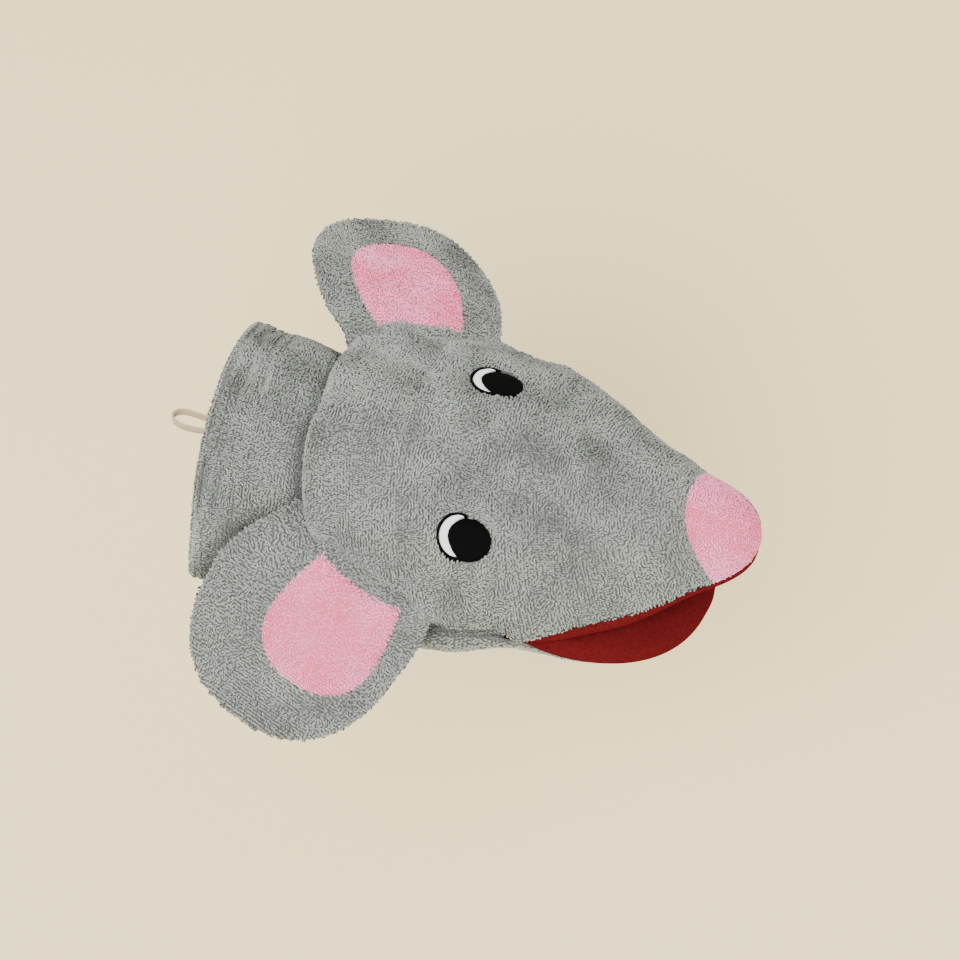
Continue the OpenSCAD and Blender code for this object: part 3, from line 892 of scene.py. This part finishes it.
def make_face():
    """The face panel from the nape to the nose seam. Beside the nape edge its height grows from the
    sleeve's skin in a quarter of a superellipse, and a sine bulges it back, which makes the puffy edge.
    A shallow bell-shaped groove marks the nose seam."""
    u, q = plane_grid(118, 141)
    s = across_share(q)
    start = nape_at(s)
    end = nose_seam_at(s)
    x = start + (end - start) * u ** 1.12
    y, z = head_section(x, q, PILE)
    puff = np.clip((x - start) / NAPE_PUFF, 0, 1)
    grow = (1 - (1 - puff) ** 2.3) ** (1 / 2.3)
    P = from_sleeve(x, s, 1, y, z, grow)
    P[..., 0] -= NAPE_ROLL * np.sin(math.pi * puff) * (1 - grow * 0.5)
    P = lift_to_ears(P)
    inland = smooth((end - x) / 12) * smooth((x - start) / 8)
    swell = (1.3 * waves(P, 34, 41) + 0.5 * waves(P, 15, 42)) * inland
    from_eye = np.hypot(P[..., 0] - EYE[0], np.abs(P[..., 1]) - EYE[1])
    swell *= np.cos(q * 1.4) * (1 - 0.85 * np.exp(-(from_eye / 17) ** 2))
    P += skin_normals(P) * swell[..., None]
    P[..., 2] -= 1.2 * np.exp(-((end - x) / 2.2) ** 2) * np.cos(s * 1.2)
    ground = cloth_piece("face", P, grey_terry)
    piles = []
    bands = (
        ("nape", 0, 34, 0.1),
        ("brow", 33, 58, 0.4),
        ("middle", 57, 84, 1.1),
        ("front", 83, 118, 1.25),
    )
    for tag, first, last, lay in bands:
        piles.append(pile_piece("face_pile_" + tag, P[first:last], grey_terry, 50 + first, lay=lay,
                                swirl=0.85, swirl_size=14, keep=off_the_eyes))
    for piece in (ground, *piles):
        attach(piece, "head")
    declare_cloth("face_panel", P)
    return P


def make_nose():
    """The nose patch: the same dome from the seam to the tip, where its rows close on one point."""
    u, q = plane_grid(40, 81)
    s = across_share(q)
    depth = PILE * 0.7
    start = nose_seam_at(s) + 0.2
    x = start + (NOSE_TIP - depth - start) * np.sin(u * math.pi / 2)
    y, z = head_section(x, q, depth)
    P = stack(x, y, z)
    P[-1] = P[-1].mean(0)
    P[..., 2] -= np.exp(-((x - start) / 1.8) ** 2) * np.cos(s * 1.2)
    ground = cloth_piece("nose", P, pink_terry)
    pile = pile_piece("nose_pile", P[:-1], pink_terry, 61, lay=0.3, swirl=0.8, swirl_size=9,
                      across=0.85, along=1.1, long=1.7, wide=0.72, tall=0.95)
    for piece in (ground, pile):
        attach(piece, "head")
    declare_cloth("nose_patch", P)


def make_roof():
    """The roof of the mouth: from under the lip a nearly upright wall that swells out, then a flat
    belly that the fingers push down. The section is a superellipse of power seven, and the bulge fades
    at the corners and nose by smoothsteps. It flattens as the jaw swings."""
    u, v = plane_grid(64, 121)
    first = MOUTH[0] - CORNER_BACK / 2
    last = NOSE_TIP - 0.4
    x = first + (last - first) * np.sin(u * math.pi / 2)
    wide = np.maximum(head_half(x, 0.4) - 0.6, 0.3)
    bulge = 1 + (LINING_BULGE - 1) * smooth((x - first) / 22) * (1 - 0.88 * smooth((x - 172) / 34))
    power = 2 / 7
    turn = v * math.pi / 2
    down = np.abs(np.cos(turn)) ** power
    swell = np.minimum(1.6, wide * 0.2) * np.sin(math.pi * np.clip(down, 0, 1)) * smooth((x - first) / 10)
    lip_out, lip_down = lip_swell(x, v)
    across = np.abs(np.sin(turn)) ** power
    y = np.sign(v) * ((wide + lip_out) * across + swell)
    z = ROOF_LEVEL - bulge * down - lip_down * across
    P = stack(x, y, z)
    P[..., 2] += 0.5 * waves(P, 22, 71) * np.cos(turn) * smooth((x - first) / 10)
    P[-1] = P[-1].mean(0)
    roof = cloth_piece("mouth_roof_cloth", P, red_lining, thick=THIN_CLOTH, flip=True)
    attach(roof, "head")
    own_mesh(roof)
    declare_cloth("mouth_roof", P)


def recess_painted_shade(spot):
    """Painted shade for loops in the hollow under the right side seam, between the ear and the mouth
    corner."""
    along = smooth((spot[:, 0] - 80) / 8) * (1 - smooth((spot[:, 0] - 118) / 8))
    return -0.5 * along * smooth((spot[:, 2] + 7.8) / 1.6) * (spot[:, 1] < 0)


def make_throat():
    """The throat: a superellipse belly section whose upper edge rolls in under the face panel, cut back
    at the front on a slant that follows the lower jaw. Under the ears the upper edge rises to the lip
    instead."""
    u, v = plane_grid(66, 131)
    turn = v * math.radians(126)
    under = THROAT_DEPTH + THROAT_LEVEL - PILE
    power = 2 / 2.6
    low_side = np.cos(turn) > 0
    s = np.where(low_side, np.abs(np.sin(turn)), 1) * np.sign(v)
    start = NAPE_X + 2 + (NAPE_SWEEP - 4) * s * s
    drop = np.where(low_side, under, THROAT_OVER) * np.abs(np.cos(turn)) ** power
    z = THROAT_LEVEL + np.where(low_side, -drop, drop)
    end = MOUTH[0] - 7 - 17 * np.where(low_side, np.abs(np.cos(turn)) ** 1.4, 0)
    x = start + (end - start) * u
    wide = np.minimum(head_half(x) - 4.2, 69.5) + 0.3 - PILE
    y = np.sign(v) * wide * np.abs(np.sin(turn)) ** power
    grow = (1 - (1 - np.clip((x - start) / 12, 0, 1)) ** 2.2) ** (1 / 2.2)
    P = from_sleeve(x, s, -1, y, z, grow)
    share = np.clip((np.abs(turn) - math.pi / 2) / math.radians(30), 0, 1) * (1 - smooth((x - 84) / 12))
    lip = np.sign(v) * (head_half(x) - PILE - 3.5)
    P[..., 1] += (lip - P[..., 1]) * share * smooth((x - start) / 8)
    P[..., 2] += (1.5 - P[..., 2]) * share
    P = lift_to_ears(P, share)
    P += skin_normals(P) * (0.8 * waves(P, 32, 81) * smooth((x - start) / 10))[..., None]
    ground = cloth_piece("throat", P, grey_terry, flip=True)
    rear = pile_piece("throat_pile_rear", P[:34], grey_terry, 82, lay=1.4, swirl=0.5, flip=True,
                      **THROAT_PILE)
    # The front loops take painted shade in the hollow under the right side seam
    front = pile_piece("throat_pile_front", P[33:], grey_terry, 83, lay=0.1, swirl=0.3, swirl_size=18,
                       flip=True, tone=recess_painted_shade, **BELLY_PILE)
    for piece in (ground, rear, front):
        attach(piece, "head")
    declare_cloth("throat_panel", P)


# ---- Jaw ----

def jaw_half(d, length, half):
    """Half width of the jaw at a distance from its hinge: a superellipse."""
    return half * (1 - np.clip(d / length, 0, 1) ** 2.27) ** (1 / 2.27)


def jaw_side(d, v):
    """Share of the jaw's half width on each side. The thumb pushes the jaw to the right, so the left
    side is drawn in."""
    return 1 - 0.1 * smooth(d / 45) * (v > 0)


def jaw_place(d, y, h):
    """A place on the open jaw: d along it from the hinge line, y across and h above its lining. Behind
    the hinge the sections turn upright and sink to meet the throat."""
    back = np.clip(-d / JAW_BACK, 0, 1)
    angle = JAW_OPEN * (1 - smooth(back))
    ahead = np.maximum(d, 0)
    x = MOUTH[0] + ahead * math.cos(JAW_OPEN) + np.minimum(d, 0) + h * np.sin(angle)
    z = MOUTH[2] - ahead * math.sin(JAW_OPEN) - 5 * smooth(back) + h * np.cos(angle)
    return stack(x, y, z)


def below_lining(spot):
    """True where a loop stands clear of the lining's rolled edge."""
    ahead = spot[:, 0] - MOUTH[0]
    lift = spot[:, 2] - MOUTH[2]
    h = ahead * math.sin(JAW_OPEN) + lift * math.cos(JAW_OPEN)
    return (h < -3.4) | (ahead < -4)


def make_jaw():
    """The jaw's pocket: half of a superellipse section hung below the lining, over the jaw's rounded
    outline."""
    u, v = plane_grid(78, 121)
    length = JAW_LENGTH - RIM_TUCK - PILE * 0.5
    d = -JAW_BACK + (length + JAW_BACK) * np.sin(u * math.pi / 2) ** 0.92
    half = jaw_half(d, length, JAW_HALF - PILE * 0.5)
    half = half + 1.2 * smooth(-d / JAW_BACK) - RIM_TUCK * smooth((d + 6) / 22)
    belly = (JAW_DEPTH - PILE) * np.sqrt(np.clip(1 - (np.maximum(d, 0) / length) ** 2, 0, 1))
    turn = v * np.radians(97 - 8 * smooth((d + 12) / 10))
    power = 2 / 2.3
    y = np.sign(v) * np.maximum(half, 0.3) * jaw_side(d, v) * np.abs(np.sin(turn)) ** power
    h = -2.0 - 0.8 * smooth((d - 2) / 14) - np.sign(np.cos(turn)) * belly * np.abs(np.cos(turn)) ** power
    P = jaw_place(d, y, h)
    P[-1] = P[-1].mean(0)
    swell = 0.8 * waves(P, 30, 91) * np.abs(np.cos(turn)) * smooth((length - d) / 10)
    P += skin_normals(P) * swell[..., None]
    ground = cloth_piece("jaw", P, grey_terry, flip=True)
    pile = pile_piece("jaw_pile", P[:-1], grey_terry, 92, lay=0.2, swirl=0.7, flip=True, keep=below_lining,
                      **BELLY_PILE)
    floor = make_mouth_floor()
    for piece in (ground, pile, floor):
        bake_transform(piece)
    declare_cloth("jaw_panel", P)


def make_mouth_floor():
    """The mouth floor: a gently crowned lining over the jaw's outline, whose edge rolls down by a
    smoothstep, with a soft bell-shaped dip along the hinge fold."""
    u, v = plane_grid(56, 101)
    length = JAW_LENGTH + 1.5
    d = -CORNER_BACK + (length + CORNER_BACK) * np.sin(u * math.pi / 2)
    half = np.maximum(jaw_half(d, length, JAW_HALF - 0.9) - 0.9 * (1 - smooth(d / 24)), 0.2)
    y = v * half * jaw_side(d, v)
    edge = (1 - np.abs(v) ** 5) * smooth((length - d) / 14)
    h = 0.2 + 1.8 * edge * smooth((d - 2) / 26) - 0.9 * np.exp(-(d / 7) ** 2)
    at_sides = smooth((np.abs(v) - 0.9) / 0.1) * smooth(d / 12)
    at_front = smooth((u - 0.86) / 0.14)
    h -= 2.4 * np.maximum(at_sides, at_front)
    P = jaw_place(d, y, h)
    P[..., 2] += 0.45 * waves(P, 20, 95) * edge
    P[-1] = P[-1].mean(0)
    floor = cloth_piece("mouth_floor_cloth", P, red_lining, thick=THIN_CLOTH)
    declare_cloth("mouth_floor", P)
    return floor


# ---- Eyes ----

def second_degree(a, b):
    """The six terms of a second-degree surface."""
    return np.stack([np.ones_like(a), a, b, a * a, a * b, b * b], axis=-1)


def eye_surface(side, skin, a, b, rise):
    """Points round an eye, a ahead and b outwards from its middle, lifted by rise off a second-degree
    surface that is fitted to the head's skin there."""
    row = np.abs(skin[:, skin.shape[1] // 2, 0] - EYE[0]).argmin()
    part = skin[max(0, row - 30):row + 30].reshape(-1, 3) * [1, side, 1]
    away = part[:, :2] - EYE
    chosen = (np.hypot(away[:, 0], away[:, 1]) < 24) & (part[:, 2] > 5)
    fit = np.linalg.lstsq(second_degree(*away[chosen].T), part[chosen, 2], rcond=None)[0]
    return stack(EYE[0] + a, (EYE[1] + b) * side, second_degree(a, b) @ fit + rise)


def threads(name, side, skin, starts, ends, thick, rise, thread, slot, node):
    """Satin stitches: each a half-round strand from its start to its end, level for most of its length
    and dipping into the cloth at both ends by an eighth power."""
    t = np.linspace(0, 1, 9)
    turn = np.linspace(0, math.pi, 5)
    line = starts[:, None] + (ends - starts)[:, None] * t[None, :, None]
    aside = unit(ends - starts)[:, ::-1] * [-1, 1]
    flat = line[:, :, None] + aside[:, None, None] * (np.cos(turn) * thick / 2)[None, None, :, None]
    level = (1 - (2 * t - 1) ** 8)[None, :, None]
    crown = (np.sin(turn) * thick * 0.55)[None, None, :]
    up = (rise[:, None, None] + crown) * level - 0.6 * (1 - level)
    P = eye_surface(side, skin, flat[..., 0], flat[..., 1], up)
    strip = grid_faces(len(t), len(turn), flip=side > 0)
    number = np.arange(len(starts))[:, None, None] * len(t) * len(turn)
    faces = (number + strip[None]).reshape(-1, 4)
    piece = new_mesh(name, P.reshape(-1, 3), faces)
    piece.data.materials.append(thread)
    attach(piece, "head")
    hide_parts(node)


def make_eye(name, side, skin):
    """An eye in satin stitch: black strands across a disc, white strands along a crescent behind it,
    and a thin black outline of short strands round the crescent."""
    rng = np.random.default_rng(101 + side)
    at = np.arange(-PUPIL_R + THREAD / 2, PUPIL_R, THREAD * 0.8)
    half = np.sqrt(PUPIL_R ** 2 - at ** 2)
    ragged = rng.normal(0, 0.12, (2, len(at)))
    lift = PILE + 0.1 + 0.1 * rng.random(len(at))
    threads(f"{name}_pupil", side, skin, stack(at, -half - ragged[0]), stack(at, half + ragged[1]),
            THREAD * 1.5, lift, black_thread, "black_thread", f"{name}_eye_pupil")
    across = np.arange(-WHITE_R + 0.3, WHITE_R - 0.2, THREAD * 0.8)
    rear = -WHITE_SHIFT - np.sqrt(WHITE_R ** 2 - across ** 2)
    front = 1.0 - np.sqrt(PUPIL_R ** 2 - across ** 2)
    lift = PILE - 0.2 + 0.08 * rng.random(len(across))
    threads(f"{name}_white", side, skin, stack(rear, across), stack(front, across),
            THREAD * 1.4, lift, white_thread, "white_thread", f"{name}_eye_white")
    turn = np.arange(math.radians(72), math.radians(288), THREAD * 0.75 / WHITE_R)
    ring = stack(np.cos(turn), np.sin(turn))
    middle = np.array([-WHITE_SHIFT, 0])
    reach = WHITE_R + OUTLINE + rng.normal(0, 0.1, len(turn))
    lift = PILE - 0.05 + 0.1 * rng.random(len(turn))
    threads(f"{name}_outline", side, skin, middle + ring * (WHITE_R - 0.25), middle + ring * reach[:, None],
            THREAD * 1.4, lift, black_thread, "black_thread", f"{name}_eye_outline")


# ---- Ears ----

def lobe(b, half, wide_at, reach, pinch):
    """Half width of a rounded lobe: narrowing to its seam on one side and a superellipse on the other."""
    base = half * (1 - pinch * np.clip((wide_at - b) / wide_at, 0, 1.4) ** 1.5)
    tip = half * (1 - np.clip((b - wide_at) / (reach - wide_at), 0, 1) ** 2.3) ** (1 / 2.3)
    return np.where(b < wide_at, base, tip)


def ear_middle(name, b):
    """Sideways place of the ear's middle line, which leans over the first part of its reach."""
    lean = EAR_LEAN[name]
    return lean / 3 + lean * 0.6 * np.minimum(1, b / EAR_WIDE_AT)


def from_ear(side, a, b, h):
    """Points of the frame from places along the seam, out from it and above its plane."""
    P = EAR_MIDDLE + a[..., None] * EAR_SEAM + b[..., None] * EAR_OUT + h[..., None] * EAR_UP
    return P * [1, side, 1]


def ear_half(name, b):
    """Half width of an ear's front part at a distance out from its seam."""
    return lobe(b, EAR_HALF - 1 + EAR_WIDER[name], EAR_WIDE_AT, EAR_REACH + EAR_GROW[name], EAR_PINCH)


def rear_share(name, b):
    """The ear's rear half width as a share of its front one, widest at the root."""
    return EAR_REAR[name] + EAR_REAR_ROOT[name] * (1 - smooth(b / 34))


def ear_grids(name):
    """Front and back sheets of an ear as places along its seam and out from it, and heights: a lobe
    that is a shallow cushion between its sheets, whose root bends down into the head by a power of the
    distance inward."""
    u, v = plane_grid(EAR_ROWS, EAR_COLS)
    b = EAR_ROOT + (EAR_REACH + EAR_GROW[name] - EAR_ROOT) * np.sin(u * math.pi / 2) ** 0.9
    a = ear_middle(name, np.maximum(b, 0)) + v * ear_half(name, b) * np.where(v < 0, rear_share(name, b), 1)
    rim = np.sqrt(np.clip(1 - np.abs(v) ** 3.5, 0, 1) * np.clip(1 - u ** 9, 0, 1))
    middle = -(1.8 + EAR_DEPTH) / 2 - 0.4
    sag = 9.5 * (np.clip(-b, 0, None) / -EAR_ROOT) ** 1.5
    wave = 1.1 * waves(stack(a, b, 0 * a), 60, 111 + SIDES[name]) * smooth((b - 8) / 30)
    front = middle + 1.35 * rim - sag + wave
    back = middle - 1.35 * rim - sag - 2 * smooth(-b / 10) + wave
    return a, b, front, back


def swell_ear(name, a, b, front, back):
    """Sews the two sheets into a flat bag and lets cloth simulation plump it, with its root held. Each
    point's move is capped by a hyperbolic tangent. The result is the two grids' new places."""
    side = SIDES[name]
    rows, cols = a.shape
    P = np.stack([from_ear(side, a, b, front), from_ear(side, a, b, back)])
    number = np.arange(rows * cols).reshape(rows, cols)
    inside = np.zeros((rows, cols), bool)
    inside[1:-1, 1:-1] = True
    lower = number.copy()
    lower[inside] = rows * cols + np.arange(inside.sum())
    points = np.concatenate([P[0].reshape(-1, 3), P[1][inside]])
    upper_faces = grid_faces(rows, cols, flip=side < 0)
    lower_faces = lower.ravel()[grid_faces(rows, cols, flip=side > 0)]
    bag = new_mesh("ear_bag", points, np.concatenate([upper_faces, lower_faces]))
    held = bag.vertex_groups.new(name="held")
    level = np.concatenate([b.ravel(), b[inside]])
    held.add(np.flatnonzero(level < 3).tolist(), 1.0, "REPLACE")
    cloth = bag.modifiers.new("cloth", "CLOTH")
    cloth.settings.quality = 6
    cloth.settings.mass = 0.15
    cloth.settings.use_pressure = True
    cloth.settings.uniform_pressure_force = 4
    cloth.settings.effector_weights.gravity = 0
    cloth.settings.vertex_group_mass = "held"
    cloth.settings.tension_stiffness = 12
    cloth.settings.compression_stiffness = 12
    cloth.settings.bending_stiffness = 0.4
    cloth.point_cache.frame_start = 1
    cloth.point_cache.frame_end = EAR_FRAMES
    scene = bpy.context.scene
    for step in range(1, EAR_FRAMES + 1):
        scene.frame_set(step)
    done = bag.evaluated_get(bpy.context.evaluated_depsgraph_get()).to_mesh()
    moved = np.zeros(len(done.vertices) * 3, np.float32)
    done.vertices.foreach_get("co", moved)
    moved = moved.reshape(-1, 3) / MM - points
    scene.frame_set(1)
    bpy.data.objects.remove(bag)
    far = np.linalg.norm(moved, axis=1, keepdims=True)
    moved *= EAR_SWELL * np.tanh(far / EAR_SWELL) / np.maximum(far, 1e-6)
    points = points + moved
    return points[number], points[lower]


def make_ear(name):
    """An ear's two sheets, each with its pile, and the pink patch on the front one."""
    side = SIDES[name]
    a, b, front, back = ear_grids(name)
    skins = swell_ear(name, a, b, front, back)
    for tag, P, flip in (("front", skins[0], side > 0), ("back", skins[1], side < 0)):
        ground = cloth_piece(f"{name}_ear_{tag}_sheet", P, grey_terry, thick=EAR_CLOTH, flip=flip)
        finish = BELLY_PILE if tag == "back" else {"keep": off_patch[name]}
        pile = pile_piece(f"{name}_ear_{tag}_pile", P[:-1], grey_terry, 121 + len(tag) + side,
                          lay=0.9 * side, swirl=0.9, flip=flip, **finish)
        for piece in (ground, pile):
            bend_at_ear(piece, name)
        declare_cloth(f"{name}_ear_{tag}", P)
    make_patch(name, skins[0])


def bend_at_ear(piece, name):
    """Works out two points out from the middle of the ear's seam, which nothing uses, and bakes the piece's
    transform into its points.
    """
    side = SIDES[name]
    points = [from_ear(side, np.array(0.0), np.array(b), np.array(0.0)) * MM for b in (-1.0, 10.0)]
    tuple(points[0])
    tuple(points[1])
    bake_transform(piece)


def patch_half(name, b):
    """Half width of an ear's pink patch at a distance out from the seam."""
    return lobe(b, PATCH_HALF, PATCH_WIDE_AT, PATCH_REACH - PATCH_SHORT[name], PATCH_PINCH)


def patch_ab(name, u, v):
    """Places of the patch along the seam and out from it: a lobe whose base is dented in its middle."""
    reach = PATCH_REACH - PATCH_SHORT[name]
    b = 0.4 + (reach - 0.4) * np.sin(u * math.pi / 2) ** 0.92
    dent = 3.0 * (1 - v * v) * (1 - smooth(b / 14))
    return PATCH_SHIFT + PATCH_MOVE[name] + v * patch_half(name, b), b + dent


def clear_of_patch(name, spot):
    """False where a point lies well under the pink patch."""
    a, b, _ = to_ear(spot)
    inside = np.abs(a - PATCH_SHIFT - PATCH_MOVE[name]) < patch_half(name, b) - 1.2
    return ~(inside & (b > 4) & (b < PATCH_REACH - PATCH_SHORT[name] - 1))


off_patch = {name: partial(clear_of_patch, name) for name in SIDES}


def make_patch(name, sheet):
    """The pink patch laid on the ear's front sheet: its lobe grid takes its height from the sheet
    below, plus a step that falls away at its sewn edge by a root of powers."""
    side = SIDES[name]
    u, v = plane_grid(44, 41)
    a, b = patch_ab(name, u, v)
    ear_b = to_ear(sheet)[1][:, EAR_COLS // 2]
    i = np.interp(b, ear_b, np.arange(EAR_ROWS))
    aside = (a - ear_middle(name, np.maximum(b, 0))) / ear_half(name, b)
    j = (aside / np.where(aside < 0, rear_share(name, b), 1) + 1) / 2 * (EAR_COLS - 1)
    below = to_ear(between(sheet, i.ravel(), j.ravel()))[2].reshape(b.shape)
    rim = np.clip(1 - np.abs(v) ** 10, 0, 1) * np.clip(1 - u ** 12, 0, 1) * smooth(u / 0.06)
    P = from_ear(side, a, b, below + 0.3 + 1.3 * np.sqrt(rim))
    P[-1] = P[-1].mean(0)
    ground = cloth_piece(f"{name}_ear_pink", P, pink_terry, thick=THIN_CLOTH, flip=side > 0)
    pile = pile_piece(f"{name}_ear_pink_pile", P[:-1], pink_terry, 141 + side, lay=0.5 * side, swirl=1.1,
                      swirl_size=8, across=0.85, along=1.1, long=1.8, wide=0.74, tall=1.0, flip=side > 0)
    for piece in (ground, pile):
        bend_at_ear(piece, name)
    declare_cloth(f"{name}_ear_patch", P)


# ---- The puppet ----

make_camera()
make_loop()
make_room()
make_sleeve()
make_hem()
face_skin = make_face()
make_nose()
make_roof()
make_throat()
make_jaw()
for side_name, side_sign in SIDES.items():
    make_eye(side_name, side_sign, face_skin)
    make_ear(side_name)
